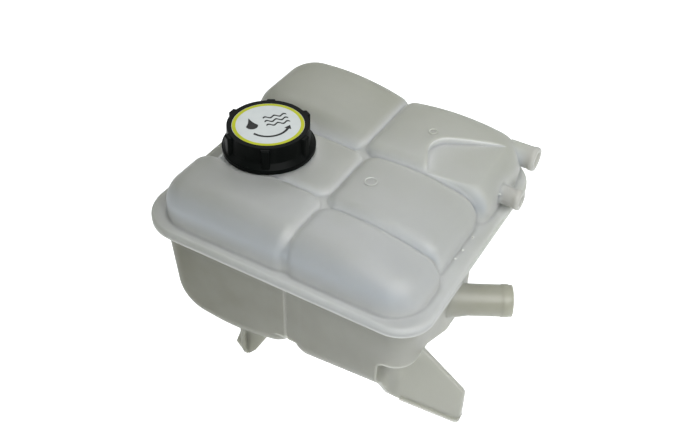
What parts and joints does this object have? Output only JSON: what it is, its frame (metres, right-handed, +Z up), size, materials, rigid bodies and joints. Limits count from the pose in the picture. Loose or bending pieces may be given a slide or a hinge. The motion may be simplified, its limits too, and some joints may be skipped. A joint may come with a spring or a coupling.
{
  "type": "coolant expansion tank",
  "caption": "Translucent moulded coolant expansion tank with pillow-shaped chambers, a black screw pressure cap, hose stubs, a mounting tongue and a locating peg.",
  "frame": {"origin": "tip of the locating peg under the left chamber, on the peg's axis", "axes": "+Z up along the filler neck, +X towards the outlet stub and the mounting tongue, +Y towards the back chambers"},
  "size_m": [0.2358, 0.193, 0.1475],
  "materials": {
    "tank_plastic": "milky translucent natural polypropylene",
    "cap_plastic": "satin black",
    "label": "printed film",
    "insert_plastic": "moulded",
    "seal_rubber": "matte",
    "valve_metal": "pressed",
    "valve_brass": "turned",
    "spring_steel": "drawn wire"
  },
  "bodies": {
    "tank": {"upper_shell": "tank_plastic", "lower_shell": "tank_plastic"},
    "valve_unit": {"valve_housing": "insert_plastic", "neck_seal": "seal_rubber", "spring_retainer": "insert_plastic", "pressure_spring": "spring_steel"},
    "cap": {"cap_shell": "cap_plastic", "cap_label": "label"},
    "pressure_valve": {"pressure_plate": "valve_metal", "pressure_seal": "seal_rubber"},
    "vacuum_valve": {"vacuum_poppet": "valve_brass", "vacuum_spring": "spring_steel"}
  },
  "joints": [
    {"name": "cap_lift", "type": "slide", "parent": "tank", "child": "valve_unit", "axis": [0, 0, 1], "range_m": [0, 0.00601]},
    {"name": "cap_turn", "type": "hinge", "parent": "valve_unit", "child": "cap", "pos_m": [-0.0197, 0.0638, 0.143], "axis": [0, 0, 1], "range_deg": [0, 540]},
    {"name": "pressure_lift", "type": "slide", "parent": "valve_unit", "child": "pressure_valve", "axis": [0, 0, 1], "range_m": [0, 0.0025], "stiffness_N_per_m": 3000, "springref_m": -0.0097, "deforming": ["pressure_spring"]},
    {"name": "vacuum_drop", "type": "slide", "parent": "pressure_valve", "child": "vacuum_valve", "axis": [0, 0, -1], "range_m": [0, 0.0015], "stiffness_N_per_m": 200, "springref_m": -0.002, "deforming": ["vacuum_spring"]}
  ],
  "couplings": [
    {"joint": "cap_lift", "follows": "cap_turn", "m_per_rad": 0.00063662}
  ]
}
